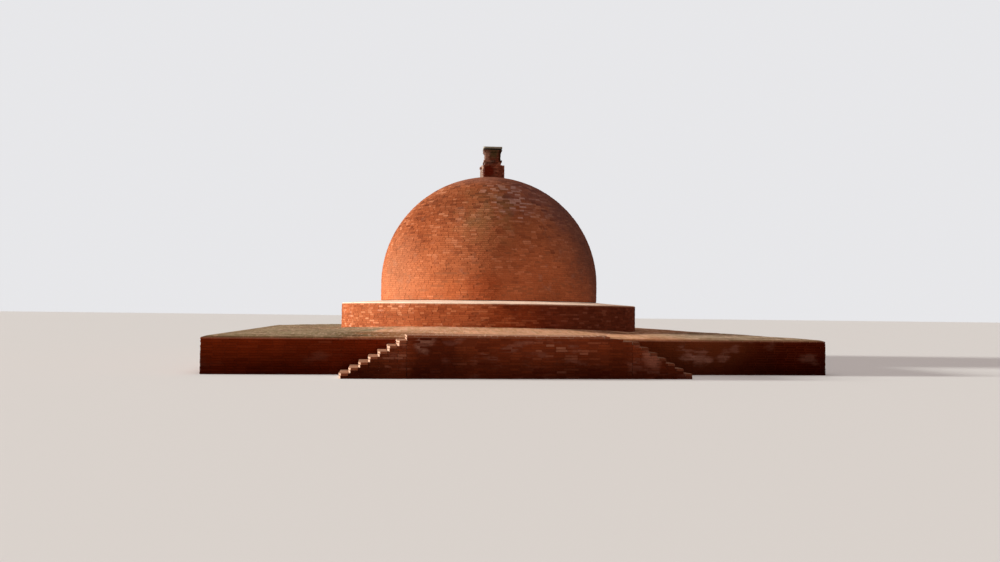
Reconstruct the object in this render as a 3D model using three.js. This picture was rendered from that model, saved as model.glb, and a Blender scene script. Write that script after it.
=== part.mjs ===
import * as THREE from "three";
import { ConvexGeometry } from "three/addons/geometries/ConvexGeometry.js";

// A brick stupa on a square platform, in millimetres, with +Z up.
// The origin is on the dome's axis, at the level where the platform meets the ground.
// The front wall, with the landing and its two flights, faces -Y. +X runs to the right along it.

// Brickwork: every height is counted in courses of one brick and its joint.
const COURSE = 75;
const RISER = 2 * COURSE;
const SEAT = 0.3; // the gap left between pieces that rest on or against each other

// Platform: four retaining walls round a fill.
const PLATFORM_SIDE = 18900;
const WALL_TOP = 14 * COURSE;
const WALL_THICKNESS = 600;

// Terrace: the made surface that sheds water from the drum to the walls.
const TERRACE_SETBACK = 150; // from the outer face of a wall to the edge of the paving
const TERRACE_EDGE = 45; // thickness at that edge
const TERRACE_RISE = 120; // from the top of the walls to the foot of the drum
const TERRACE_FLAT = 7800; // half the side of the level square that carries the drum

// Apron: a low bank of earth and paving against the front of the drum, thickest near its middle.
const APRON_SPAN = [190, 320]; // degrees from +X, turning towards +Y
const APRON_MIDDLE = 255;
const APRON_REACH = 68; // degrees from the middle to where the bank runs out
const APRON_HEIGHT = 150; // above the thin end, against the drum
const APRON_THIN = 20;
const APRON_EDGE = 15; // thickness at its outer edge
const APRON_WIDTH = [350, 1450]; // at the thin end, and what the middle adds to it

// Landing: a block in front of the wall, one riser higher than it, with a flight at each end.
const LANDING_CENTRE = -485; // it lies a little left of the platform's middle
const LANDING_LENGTH = 6400;
const LANDING_DEPTH = 1620;
const TREADS = 7; // the last one is level with the top of the walls
const TREAD_GOING = 262;

// Drum, berm and dome, all turned about the dome's axis.
const DRUM_RADIUS = 5880;
const DRUM_HEIGHT = 955; // thirteen courses, a little under the full brick height
const BERM_RADIUS = 5860;
const BERM_LIP = 35;
const BERM_RISE = 155;
const DOME_RADIUS = 4350;
const STILT_HEIGHT = 690; // the upright part of the dome below the hemisphere
const CROWN_RADIUS = 650; // the small level top that carries the harmika
const ROUND_STEPS = 72;
const DOME_RINGS = 20;

// Harmika: from the crown up, each piece as [width, height].
const HARMIKA_OFFSET = 70; // it stands a little right of the dome's axis
const HARMIKA_TURN = -4; // degrees that it is turned about its own middle
const HARMIKA_BASE = [960, 525];
const HARMIKA_PANEL = 730; // width of the panel that stands proud on each side of the base
const PANEL_STEP = 60; // how far it stands proud
const WAIST_SIZE = [660, 125];
const MOULDING_SIZE = [745, 85];
const NECK_SIZE = [640, 310];
const CORBEL_SIZE = [750, 105];
const CAP_SIZE = [775, 135];

// Levels worked out from the sizes above.
const LANDING_TOP = WALL_TOP + RISER;
const DRUM_FOOT = WALL_TOP + TERRACE_RISE;
const DRUM_TOP = DRUM_FOOT + DRUM_HEIGHT;
const DOME_FOOT = DRUM_TOP + BERM_RISE;
const DOME_EQUATOR = DOME_FOOT + STILT_HEIGHT;
const CROWN_LEVEL =
  DOME_EQUATOR + Math.sqrt(DOME_RADIUS ** 2 - CROWN_RADIUS ** 2);
const HALF_SIDE = PLATFORM_SIDE / 2;

const finishes = {
  brick: { color: 0x96472a, roughness: 0.92, metalness: 0 },
  wallBrick: { color: 0x6e3324, roughness: 0.95, metalness: 0 },
  treadBrick: { color: 0xa87c68, roughness: 0.93, metalness: 0 },
  paving: { color: 0xa8826a, roughness: 0.96, metalness: 0 },
  plaster: { color: 0xdcb898, roughness: 0.9, metalness: 0 },
  fill: { color: 0x7d5c45, roughness: 1, metalness: 0 },
  capStone: { color: 0x6b6352, roughness: 0.9, metalness: 0 },
};

const stupa = new THREE.Group();

// Puts one named piece into the group.
function place(group, name, geometry, finish) {
  const mesh = new THREE.Mesh(
    geometry,
    new THREE.MeshStandardMaterial(finishes[finish]),
  );
  mesh.name = name;
  group.add(mesh);
  return mesh;
}

// A block between two values on each axis.
function block([x0, x1], [y0, y1], [z0, z1]) {
  const box = new THREE.BoxGeometry(x1 - x0, y1 - y0, z1 - z0);
  return box.translate((x0 + x1) / 2, (y0 + y1) / 2, (z0 + z1) / 2);
}

// A solid turned about +Z from a profile of [radius, height] that starts and ends on the axis.
function turned(profile) {
  const points = profile.map(([radius, height]) => new THREE.Vector2(radius, height));
  return new THREE.LatheGeometry(points, ROUND_STEPS).rotateX(Math.PI / 2);
}

// A plan outline of [x, y] points carried up from one level to another.
function standing(outline, bottom, top) {
  const shape = new THREE.Shape(outline.map(([x, y]) => new THREE.Vector2(x, y)));
  const solid = new THREE.ExtrudeGeometry(shape, {
    depth: top - bottom,
    bevelEnabled: false,
  });
  return solid.translate(0, 0, bottom);
}

// A front view outline of [x, z] points carried back from the front face by its depth.
function carriedBack(outline, front, depth) {
  const shape = new THREE.Shape(outline.map(([x, z]) => new THREE.Vector2(x, z)));
  const solid = new THREE.ExtrudeGeometry(shape, { depth, bevelEnabled: false });
  return solid.rotateX(Math.PI / 2).translate(0, front + depth, 0);
}

// Platform walls: the front and back walls run the full side, and the others stand between them.
function addWalls() {
  const inner = HALF_SIDE - WALL_THICKNESS;
  const across = [-HALF_SIDE, HALF_SIDE];
  const between = [-inner + SEAT, inner - SEAT];
  const height = [0, WALL_TOP];
  place(stupa, "front_wall", block(across, [-HALF_SIDE, -inner], height), "wallBrick");
  place(stupa, "back_wall", block(across, [inner, HALF_SIDE], height), "wallBrick");
  place(stupa, "left_wall", block([-HALF_SIDE, -inner], between, height), "wallBrick");
  place(stupa, "right_wall", block([inner, HALF_SIDE], between, height), "wallBrick");
  const core = [-inner + SEAT, inner - SEAT];
  place(stupa, "platform_fill", block(core, core, height), "fill");
}

// Terrace: four like quarters of a low pyramid with a level top, mitred on the diagonals.
function addTerrace() {
  const edge = HALF_SIDE - TERRACE_SETBACK;
  const base = WALL_TOP + SEAT;
  const lip = WALL_TOP + TERRACE_EDGE;
  const top = DRUM_FOOT;
  const corners = [
    [0, 0, base],
    [0, 0, top],
  ];
  for (const side of [-1, 1]) {
    corners.push([side * edge, -edge, base]);
    corners.push([side * edge, -edge, lip]);
    corners.push([side * TERRACE_FLAT, -TERRACE_FLAT, top]);
  }
  const points = corners.map((corner) => new THREE.Vector3(...corner));
  ["front", "right", "back", "left"].forEach((side, turn) => {
    const quarter = place(
      stupa,
      `terrace_${side}`,
      new ConvexGeometry(points),
      "paving",
    );
    const angle = (turn * Math.PI) / 2;
    quarter.rotation.z = angle;
    quarter.position.set(SEAT * Math.sin(angle), -SEAT * Math.cos(angle), 0);
  });
}

// A solid carried along a row of like outlines, each a loop of [x, y, z] points, and closed at both ends.
// Seen along the way that it is carried, every loop runs clockwise.
function carriedAlong(loops) {
  const side = loops[0].length;
  const faces = [];
  const quad = (a, b, c, d) => faces.push(a, b, c, a, c, d);
  for (let step = 0; step + 1 < loops.length; step += 1) {
    for (let k = 0; k < side; k += 1) {
      const here = step * side + k;
      const next = step * side + ((k + 1) % side);
      quad(here, here + side, next + side, next);
    }
  }
  const last = (loops.length - 1) * side;
  for (let k = 1; k + 1 < side; k += 1) {
    faces.push(0, k, k + 1);
    faces.push(last, last + k + 1, last + k);
  }
  const solid = new THREE.BufferGeometry();
  solid.setAttribute("position", new THREE.Float32BufferAttribute(loops.flat(2), 3));
  solid.setIndex(faces);
  return solid;
}

// Apron: at each of the drum's corners, an outline that falls from the drum to the apron's outer edge.
function addApron() {
  const loops = [];
  const bottom = DRUM_FOOT + SEAT;
  const [thinWidth, moreWidth] = APRON_WIDTH;
  for (let degrees = APRON_SPAN[0]; degrees <= APRON_SPAN[1]; degrees += 360 / ROUND_STEPS) {
    const share = Math.cos((((degrees - APRON_MIDDLE) / APRON_REACH) * Math.PI) / 2);
    const inner = DRUM_RADIUS + 2 * SEAT;
    const outer = inner + thinWidth + moreWidth * share ** 0.7;
    const angle = (degrees * Math.PI) / 180;
    const at = (radius, level) => [radius * Math.cos(angle), radius * Math.sin(angle), level];
    loops.push([
      at(inner, bottom),
      at(outer, bottom),
      at(outer, DRUM_FOOT + APRON_EDGE),
      at(inner, DRUM_FOOT + APRON_THIN + APRON_HEIGHT * share),
    ]);
  }
  place(stupa, "front_apron", carriedAlong(loops), "paving");
}

// Landing: a block of brickwork with one course of paving on it.
function addLanding() {
  const x = [
    LANDING_CENTRE - LANDING_LENGTH / 2,
    LANDING_CENTRE + LANDING_LENGTH / 2,
  ];
  const y = [-HALF_SIDE - LANDING_DEPTH, -HALF_SIDE - SEAT];
  const body = [0, LANDING_TOP - COURSE - SEAT];
  const paving = [LANDING_TOP - COURSE, LANDING_TOP];
  place(stupa, "landing_block", block(x, y, body), "wallBrick");
  place(stupa, "landing_paving", block(x, y, paving), "treadBrick");
}

// One flight: the stepped brickwork below, and a course of paving as each tread.
// side is -1 for the flight that climbs from the left and 1 for the one from the right.
function addFlight(name, side) {
  const head = LANDING_CENTRE + side * (LANDING_LENGTH / 2 + SEAT);
  const front = -HALF_SIDE - LANDING_DEPTH;
  const depth = LANDING_DEPTH - SEAT;
  const reach = (number) => head + side * (TREADS + 1 - number) * TREAD_GOING;
  const outline = [
    [head, 0],
    [reach(1), 0],
  ];
  for (let number = 1; number <= TREADS; number += 1) {
    const bed = number * RISER - COURSE - SEAT;
    outline.push([reach(number), bed], [reach(number + 1), bed]);
  }
  if (side < 0) outline.reverse();
  place(stupa, `${name}_flight`, carriedBack(outline, front, depth), "wallBrick");

  for (let number = 1; number <= TREADS; number += 1) {
    const outer = reach(number);
    const inner = reach(number + 1) + side * SEAT;
    const x = side < 0 ? [outer, inner] : [inner, outer];
    const y = [front, front + depth];
    const z = [number * RISER - COURSE, number * RISER];
    place(stupa, `${name}_tread_${number}`, block(x, y, z), "treadBrick");
  }
}

// Drum with its plastered berm, then the upright foot of the dome and the dome itself.
function addDrumAndDome() {
  const drum = [
    [0, DRUM_FOOT + SEAT],
    [DRUM_RADIUS, DRUM_FOOT + SEAT],
    [DRUM_RADIUS, DRUM_TOP],
    [0, DRUM_TOP],
  ];
  place(stupa, "drum", turned(drum), "brick");

  const berm = [
    [0, DRUM_TOP + SEAT],
    [BERM_RADIUS, DRUM_TOP + SEAT],
    [BERM_RADIUS, DRUM_TOP + BERM_LIP],
    [DOME_RADIUS - COURSE, DOME_FOOT],
    [0, DOME_FOOT],
  ];
  place(stupa, "berm", turned(berm), "plaster");

  const stilt = [
    [0, DOME_FOOT + SEAT],
    [DOME_RADIUS, DOME_FOOT + SEAT],
    [DOME_RADIUS, DOME_EQUATOR],
    [0, DOME_EQUATOR],
  ];
  place(stupa, "dome_foot", turned(stilt), "brick");

  const dome = [
    [0, DOME_EQUATOR + SEAT],
    [DOME_RADIUS, DOME_EQUATOR + SEAT],
  ];
  const crownAngle = Math.acos(CROWN_RADIUS / DOME_RADIUS);
  for (let ring = 1; ring <= DOME_RINGS; ring += 1) {
    const angle = (crownAngle * ring) / DOME_RINGS;
    dome.push([
      DOME_RADIUS * Math.cos(angle),
      DOME_EQUATOR + DOME_RADIUS * Math.sin(angle),
    ]);
  }
  dome.push([0, CROWN_LEVEL]);
  place(stupa, "dome", turned(dome), "brick");
}

// Plan of the harmika's base: a square with a panel standing proud on each side.
function redentedPlan(width, panel, step) {
  const corner = width / 2 - step;
  const face = width / 2;
  const half = panel / 2;
  const quarter = [
    [-corner, -corner],
    [-half, -corner],
    [-half, -face],
    [half, -face],
    [half, -corner],
  ];
  const outline = [];
  for (let turn = 0; turn < 4; turn += 1) {
    const cos = Math.round(Math.cos((turn * Math.PI) / 2));
    const sin = Math.round(Math.sin((turn * Math.PI) / 2));
    for (const [x, y] of quarter) outline.push([x * cos - y * sin, x * sin + y * cos]);
  }
  return outline;
}

// A square frustum that widens from one width at the bottom to another at the top.
function widening(bottomWidth, topWidth, bottom, top) {
  const points = [];
  for (const [width, level] of [
    [bottomWidth, bottom],
    [topWidth, top],
  ]) {
    for (const x of [-width / 2, width / 2]) {
      for (const y of [-width / 2, width / 2]) {
        points.push(new THREE.Vector3(x, y, level));
      }
    }
  }
  return new ConvexGeometry(points);
}

function addHarmika() {
  const harmika = new THREE.Group();
  harmika.position.x = HARMIKA_OFFSET;
  harmika.rotation.z = (HARMIKA_TURN * Math.PI) / 180;
  stupa.add(harmika);

  let level = CROWN_LEVEL;
  const square = ([width, height], name, finish) => {
    const span = [-width / 2, width / 2];
    place(harmika, name, block(span, span, [level + SEAT, level + height]), finish);
    level += height;
  };

  const plan = redentedPlan(HARMIKA_BASE[0], HARMIKA_PANEL, PANEL_STEP);
  const base = standing(plan, level + SEAT, level + HARMIKA_BASE[1]);
  place(harmika, "harmika_base", base, "brick");
  level += HARMIKA_BASE[1];

  square(WAIST_SIZE, "harmika_waist", "brick");
  square(MOULDING_SIZE, "harmika_moulding", "brick");
  square(NECK_SIZE, "harmika_neck", "brick");

  const [corbelWidth, corbelHeight] = CORBEL_SIZE;
  const corbel = widening(
    NECK_SIZE[0],
    corbelWidth,
    level + SEAT,
    level + corbelHeight,
  );
  place(harmika, "harmika_corbel", corbel, "brick");
  level += corbelHeight;

  square(CAP_SIZE, "harmika_cap", "capStone");
}

addWalls();
addTerrace();
addApron();
addLanding();
addFlight("left", -1);
addFlight("right", 1);
addDrumAndDome();
addHarmika();

export default stupa;
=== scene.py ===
import bpy
import numpy as np
from mathutils import Matrix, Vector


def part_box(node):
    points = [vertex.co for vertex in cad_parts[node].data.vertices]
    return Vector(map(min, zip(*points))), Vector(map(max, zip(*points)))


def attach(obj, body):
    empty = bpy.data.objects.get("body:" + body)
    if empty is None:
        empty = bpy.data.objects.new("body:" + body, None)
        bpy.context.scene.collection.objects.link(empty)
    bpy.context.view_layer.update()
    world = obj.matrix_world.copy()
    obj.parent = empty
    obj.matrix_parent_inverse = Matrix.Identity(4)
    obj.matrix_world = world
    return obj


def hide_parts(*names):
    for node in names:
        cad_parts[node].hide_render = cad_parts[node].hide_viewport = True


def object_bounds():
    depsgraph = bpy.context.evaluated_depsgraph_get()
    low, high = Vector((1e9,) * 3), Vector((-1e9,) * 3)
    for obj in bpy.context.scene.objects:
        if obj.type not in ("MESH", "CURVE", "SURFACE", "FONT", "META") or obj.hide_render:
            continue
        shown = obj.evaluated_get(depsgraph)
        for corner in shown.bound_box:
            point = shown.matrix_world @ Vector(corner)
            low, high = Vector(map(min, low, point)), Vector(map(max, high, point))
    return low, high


# A brick stupa, in metres, +Z up, with the dome's axis through the origin and the landing facing -Y.
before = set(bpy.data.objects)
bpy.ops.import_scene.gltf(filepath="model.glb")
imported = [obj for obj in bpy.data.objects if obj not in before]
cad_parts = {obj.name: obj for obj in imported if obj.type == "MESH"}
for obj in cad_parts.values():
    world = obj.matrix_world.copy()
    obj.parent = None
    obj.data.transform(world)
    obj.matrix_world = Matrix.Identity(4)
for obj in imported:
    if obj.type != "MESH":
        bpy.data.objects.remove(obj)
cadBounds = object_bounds()
print("frame:", len(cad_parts), "nodes")

courseHeight = 0.075  # one brick and its bed joint
latticeSide = 64  # random numbers along each side of the noise lattice
driftContrast = 1.8
middleTone = 0.5  # of mortar, earth and pieces without bricks
edgeRange = (0.6, 1.4)  # a brick's rounded edge against the usual one
edgeShare = 0.3  # the most of a brick's height that a rounded edge takes
upShare = 0.5  # how far a corner strays up or down, against along
leftward, rightward = (-1, 0, 0), (1, 0, 0)
frontward, backward = (0, -1, 0), (0, 1, 0)
upward = (0, 0, 1)
allSides = ["front", "right", "back", "left"]


def corners(node):
    low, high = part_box(node)
    return np.array(low), np.array(high)


# Courses in a height: the height over one brick and its joint, to the nearest whole number.
def courseCount(low, high):
    return int(round((high[2] - low[2]) / courseHeight))


# Soft noise from 0 to 1: random numbers on a cubic lattice, blended between its points by 3t^2 - 2t^3.
def softNoise(points, size, seed):
    table = np.random.default_rng(seed).random((latticeSide,) * 3)
    cell = np.asarray(points, float) / size
    base = np.floor(cell).astype(int)
    t = cell - base
    t = t * t * (3 - 2 * t)
    total = np.zeros(cell.shape[:-1])
    for corner in np.ndindex(2, 2, 2):
        share = np.prod(np.where(np.array(corner) == 1, t, 1 - t), axis=-1)
        i = (base + np.array(corner)) % latticeSide
        total += share * table[i[..., 0], i[..., 1], i[..., 2]]
    return total


# Turns the mesh's arrays into a piece that rides on the building and stands for its node.
def makePiece(name, node, shape, finish, smooth=False):
    points, faces, values = shape
    points = np.clip(points, *cadBounds)
    mesh = bpy.data.meshes.new(name)
    mesh.from_pydata(points.tolist(), [], faces.tolist())
    for key, numbers in values.items():
        attribute = mesh.attributes.new(key, "FLOAT", "POINT")
        attribute.data.foreach_set("value", np.asarray(numbers, np.float32))
    mesh.polygons.foreach_set("use_smooth", np.full(len(mesh.polygons), smooth))
    mesh.materials.append(finish)
    mesh.update()
    piece = bpy.data.objects.new(name, mesh)
    bpy.context.scene.collection.objects.link(piece)
    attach(piece, "root")
    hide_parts(node)


# Puts several shapes of four-sided faces into one.
def joined(*shapes):
    counts = [len(points) for points, faces, values in shapes]
    starts = np.cumsum([0] + counts[:-1])
    points = np.concatenate([shape[0] for shape in shapes])
    faces = np.concatenate([shape[1] + start for shape, start in zip(shapes, starts)])
    values = {key: np.concatenate([shape[2][key] for shape in shapes]) for key in shapes[0][2]}
    return points, faces, values


# The values that every point of a piece carries: its brick's tone, 1 where it is mortar or earth, and 1 on
# the rim of a brick's face.
def pointValues(tone, bed=0.0, worn=0.0):
    values = {"tone": tone, "bed": bed, "worn": worn}
    return {key: value + np.zeros(len(tone)) for key, value in values.items()}


def evenValues(points, bed=0.0):
    return pointValues(np.full(len(points), middleTone), bed=bed)


# Shares rows out into bricks. Joint k of a row stands at (k + shift) times the even brick length, moved
# a little at random; open rows start and end flush, and every other row is shifted by half a brick. Gives
# each brick's row, its two ends, and whether it is the row's first or last.
def shareOut(lengths, odd, brickLength, wander, rng, closed=False):
    lengths = np.asarray(lengths, float)
    odd = np.asarray(odd, int)
    whole = np.maximum(1, np.round(lengths / brickLength)).astype(int)
    counts = whole if closed else whole + odd
    row = np.repeat(np.arange(len(lengths)), counts)
    first = np.cumsum(counts) - counts
    place = np.arange(counts.sum()) - first[row]
    pitch = (lengths / whole)[row]
    moved = rng.uniform(-wander, wander, counts.sum() + len(lengths))

    def jointAt(k):
        if closed:
            return (k + 0.5 * odd[row] + moved[first[row] + k % counts[row]]) * pitch
        inside = (k > 0) & (k < counts[row])
        even = np.clip(k - 0.5 * odd[row], 0, whole[row])
        return (even + inside * moved[first[row] + row + k]) * pitch

    return row, jointAt(place), jointAt(place + 1), place == 0, place == counts[row] - 1


# Twelve points for every brick, in its own (along, up, inward) distances: the back, the rim and the face,
# each ring at the corners (0,0) (1,0) (1,1) (0,1); the face is the rim drawn in by the round of the edge.
def brickPoints(left, right, low, high, depth, work, rng):
    count = len(left)
    ring = np.array([[0, 0], [1, 0], [1, 1], [0, 1]])
    u = np.where(ring[:, 0] == 1, right[:, None], left[:, None])
    v = np.where(ring[:, 1] == 1, high[:, None], low[:, None])
    u = u + rng.uniform(-1, 1, (count, 4)) * work["corner"]
    v = v + rng.uniform(-1, 1, (count, 4)) * work["corner"] * upShare
    rounding = work["rounding"] * rng.uniform(*edgeRange, (count, 1))
    inU = np.where(ring[:, 0] == 1, -1, 1) * rounding
    inV = np.where(ring[:, 1] == 1, -1, 1) * np.minimum(rounding, edgeShare * (high - low)[:, None])
    back = rng.random((count, 1)) ** 2 * work["recess"] + rng.random((count, 4)) * work["tilt"]
    deep = np.broadcast_to(depth[:, None], (count, 4))
    along = np.concatenate([u, u, u + inU], axis=1)
    up = np.concatenate([v, v, v + inV], axis=1)
    inward = np.concatenate([deep, back + rounding, back], axis=1)
    return along, up, inward


# The ten faces of one brick, for every brick: back, four sides, four bevels and the front.
def brickFaces(count):
    sides = [[i, (i + 1) % 4, 4 + (i + 1) % 4, 4 + i] for i in range(4)]
    bevels = [[4 + i, 4 + (i + 1) % 4, 8 + (i + 1) % 4, 8 + i] for i in range(4)]
    one = np.array([[3, 2, 1, 0]] + sides + bevels + [[8, 9, 10, 11]])
    return (one[None] + 12 * np.arange(count)[:, None, None]).reshape(-1, 4)


# One tone for a brick's twelve points, of which the middle four, its rim, are worn.
def brickValues(tone):
    worn = np.tile(np.repeat([0.0, 1.0, 0.0], 4), len(tone))
    return pointValues(np.repeat(tone, 12), worn=worn)


# Each brick's tone: its own chance plus a slow drift over the wall, so that like bricks gather. The tones
# keep nearer to the middle where the work says that the wall is calm: 0.5 + (tone - 0.5)*swing(height).
def brickTones(centres, work, rng):
    drift = 0.5 + (softNoise(centres, work["drift"], work["seed"]) - 0.5) * driftContrast
    tone = (1 - work["gather"]) * rng.random(len(centres)) + work["gather"] * drift
    swing = np.interp(centres[:, 2], *work.get("swing", ([0], [1])))
    return np.clip(0.5 + (tone - 0.5) * swing, 0, 1)


# Bricks in straight rows. A point is start + along*u + up*v - out*d, with out = along x up.
def straightBricks(rows, work, keep=None):
    rng = np.random.default_rng(work["seed"])
    start, along, up, length, rise, depth, odd = rows
    row, left, right, firsts, lasts = shareOut(length, odd, work["length"], work["wander"], rng)
    half = work["joint"] / 2
    left = left + np.where(firsts, 0, half)
    right = right - np.where(lasts, 0, half)
    u, v, d = brickPoints(left, right, np.full(len(row), half), rise[row] - half, depth[row], work, rng)
    out = np.cross(along, up)
    points = (
        start[row][:, None]
        + u[..., None] * along[row][:, None]
        + v[..., None] * up[row][:, None]
        - d[..., None] * out[row][:, None]
    )
    centres = points.mean(axis=1)
    tone = brickTones(centres, work, rng)
    kept = np.ones(len(row), bool) if keep is None else keep(centres, rng)
    points = points[kept].reshape(-1, 3)
    return points, brickFaces(kept.sum()), brickValues(tone[kept])


# Bricks in level rings round the dome's axis. A face runs from its foot radius to its head radius, and
# a point is (r cos a, r sin a, level + v) with r = foot + (head - foot)*v/rise - d.
def ringBricks(levels, foot, head, rise, depth, work):
    rng = np.random.default_rng(work["seed"])
    odd = np.arange(len(levels)) % 2
    around = 2 * np.pi * foot
    row, left, right = shareOut(around, odd, work["length"], work["wander"], rng, closed=True)[:3]
    half = work["joint"] / 2
    tall = rise[row]
    low, high = np.full(len(row), half), tall - half
    u, v, d = brickPoints(left + half, right - half, low, high, depth[row], work, rng)
    turn = u / foot[row][:, None] + rng.uniform(0, 2 * np.pi, len(levels))[row][:, None]
    radius = foot[row][:, None] + (head - foot)[row][:, None] * v / tall[:, None] - d
    height = levels[row][:, None] + v
    points = np.stack([radius * np.cos(turn), radius * np.sin(turn), height], axis=-1)
    tone = brickTones(points.mean(axis=1), work, rng)
    return points.reshape(-1, 3), brickFaces(len(row)), brickValues(tone)


# Mortar or fill behind bricks: a closed box for each pair of corners.
def boxes(lows, highs):
    lows, highs = np.atleast_2d(lows), np.atleast_2d(highs)
    unit = np.array(list(np.ndindex(2, 2, 2)))
    points = (lows[:, None] + unit[None] * (highs - lows)[:, None]).reshape(-1, 3)
    one = np.array([[0, 1, 3, 2], [4, 6, 7, 5], [0, 4, 5, 1], [2, 3, 7, 6], [0, 2, 6, 4], [1, 5, 7, 3]])
    faces = (one[None] + 8 * np.arange(len(lows))[:, None, None]).reshape(-1, 4)
    return points, faces, evenValues(points, bed=1.0)


# A closed loop profile of (radius, height) carried round the axis: point = (r cos a, r sin a, h). The
# profile may differ from one angle to the next.
def carriedRound(radius, height, steps):
    side = np.shape(radius)[-1]
    radius, height = np.broadcast_to(radius, (steps, side)), np.broadcast_to(height, (steps, side))
    turn = (np.arange(steps) * 2 * np.pi / steps)[:, None]
    points = np.stack([radius * np.cos(turn), radius * np.sin(turn), height], axis=-1)
    i, j = np.meshgrid(np.arange(steps), np.arange(side), indexing="ij")
    nextI, nextJ = (i + 1) % steps, (j + 1) % side
    faces = np.stack([i * side + j, nextI * side + j, nextI * side + nextJ, i * side + nextJ], axis=-1)
    return points.reshape(-1, 3), faces.reshape(-1, 4)


def ringCore(radius, height, steps):
    points, faces = carriedRound(radius, height, steps)
    return points, faces, evenValues(points, bed=1.0)


# A closed slab over a grid of plan points: its top at one height for each point, its underside level.
def slabOver(x, y, top, bottom):
    rows, cols = x.shape
    upper = np.stack([x, y, top], axis=-1).reshape(-1, 3)
    lower = np.stack([x, y, np.full(x.shape, bottom)], axis=-1).reshape(-1, 3)
    at = np.arange(rows * cols).reshape(rows, cols)
    cells = np.stack([at[:-1, :-1], at[:-1, 1:], at[1:, 1:], at[1:, :-1]], axis=-1).reshape(-1, 4)
    rim = np.concatenate([at[0, :-1], at[:-1, -1], at[-1, :0:-1], at[:0:-1, 0]])
    after = np.roll(rim, -1)
    shift = rows * cols
    sides = np.stack([rim + shift, after + shift, after, rim], axis=-1)
    faces = np.concatenate([cells, cells[:, ::-1] + shift, sides])
    return np.concatenate([upper, lower]), faces


# A block with rounded edges: points of a cube's surface grid, drawn in to a smaller box and pushed out
# again by the radius along the way they point.
def roundedBlock(low, high, radius, cells):
    low, high = np.array(low, float), np.array(high, float)
    steps = np.arange(cells + 1)
    a, b = [grid.ravel() for grid in np.meshgrid(steps, steps, indexing="ij")]
    index = np.arange((cells + 1) ** 2).reshape(cells + 1, cells + 1)
    cell = np.stack([index[:-1, :-1], index[1:, :-1], index[1:, 1:], index[:-1, 1:]], axis=-1).reshape(-1, 4)
    lattice, faces = [], []
    for axis in range(3):
        for end in (0, cells):
            points = np.zeros((len(a), 3), int)
            points[:, axis] = end
            points[:, (axis + 1) % 3] = a
            points[:, (axis + 2) % 3] = b
            lattice.append(points)
            faces.append((cell if end else cell[:, ::-1]) + len(a) * (len(lattice) - 1))
    unique, back = np.unique(np.concatenate(lattice), axis=0, return_inverse=True)
    flat = low + unique / cells * (high - low)
    inner = np.clip(flat, low + radius, high - radius)
    away = flat - inner
    distance = np.linalg.norm(away, axis=1, keepdims=True)
    return inner + radius * away / np.maximum(distance, 1e-9), back.ravel()[np.concatenate(faces)]


# Rows for the upright faces of a block. Each course takes turns at a corner: the rows of one pair of
# faces run through, and the rows of the other pair stop short by one brick's depth.
def blockRows(low, high, sides, courses, depth, rise=courseHeight, topDepth=None):
    x0, y0, z0 = low
    x1, y1, z1 = high
    plan = {
        "front": ([x0, y0], [1, 0], x1 - x0),
        "right": ([x1, y0], [0, 1], y1 - y0),
        "back": ([x1, y1], [-1, 0], x1 - x0),
        "left": ([x0, y1], [0, -1], y1 - y0),
    }
    order = list(plan)
    rows = []
    for number in range(courses):
        deep = topDepth if topDepth and number == courses - 1 else depth
        for side in sides:
            at = order.index(side)
            (px, py), (ax, ay), length = plan[side]
            through = (number + at) % 2 == 0
            before = 0 if through or order[at - 1] not in sides else deep
            after = 0 if through or order[(at + 1) % 4] not in sides else deep
            point = [px + ax * before, py + ay * before, z0 + number * rise]
            rows.append((point, [ax, ay, 0], upward, length - before - after, rise, deep, number % 2))
    return stackRows(rows)


# Rows of (start, along, up, length, rise, depth, odd) as one array for each of the seven.
def stackRows(rows):
    *columns, odd = zip(*rows)
    return (*[np.array(column, float) for column in columns], np.array(odd, int))


# Camera: where the photograph was taken from, and how it was held.
cameraPlan = {
    "place": (-4.531, -35.079, 1.857),
    "turn": 8.08,  # degrees from +Y towards +X
    "lift": 2.05,  # degrees above level
    "roll": 0.695,  # degrees
    "lens": 31.32,
    "sensor": 36.0,
    "farthest": 2000,
}


def makeCamera(plan):
    turn, lift, roll = np.radians([plan["turn"], plan["lift"], plan["roll"]])
    ahead = np.array([np.sin(turn) * np.cos(lift), np.cos(turn) * np.cos(lift), np.sin(lift)])
    right = np.array([np.cos(turn), -np.sin(turn), 0.0])
    up = np.cross(right, ahead)
    rolledRight = right * np.cos(roll) + up * np.sin(roll)
    rolledUp = up * np.cos(roll) - right * np.sin(roll)
    data = bpy.data.cameras.new("camera")
    data.lens = plan["lens"]
    data.sensor_width = plan["sensor"]
    data.clip_end = plan["farthest"]
    camera = bpy.data.objects.new("camera", data)
    bpy.context.scene.collection.objects.link(camera)
    matrix = np.identity(4)
    matrix[:3, 0], matrix[:3, 1], matrix[:3, 2] = rolledRight, rolledUp, -ahead
    matrix[:3, 3] = plan["place"]
    camera.matrix_world = Matrix(matrix.tolist())
    bpy.context.scene.camera = camera


makeCamera(cameraPlan)
print("camera: set")


# Adds one node: feeds are its inputs by name or number, each a value or another node's output.
def addNode(tree, kind, feeds=None, **settings):
    node = tree.nodes.new(kind)
    for key, value in settings.items():
        setattr(node, key, value)
    for key, value in (feeds or {}).items():
        if isinstance(value, bpy.types.NodeSocket):
            tree.links.new(value, node.inputs[key])
        else:
            node.inputs[key].default_value = value
    return node


def colour(rgb):
    return (*rgb, 1.0)


def pointValue(tree, key):
    return addNode(tree, "ShaderNodeAttribute", attribute_name=key).outputs["Fac"]


def blended(tree, how, share, under, over):
    feeds = {0: share, 6: under, 7: over}
    return addNode(tree, "ShaderNodeMix", feeds, data_type="RGBA", blend_type=how).outputs[2]


def reckoned(tree, how, first, second):
    return addNode(tree, "ShaderNodeMath", {0: first, 1: second}, operation=how).outputs[0]


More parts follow.
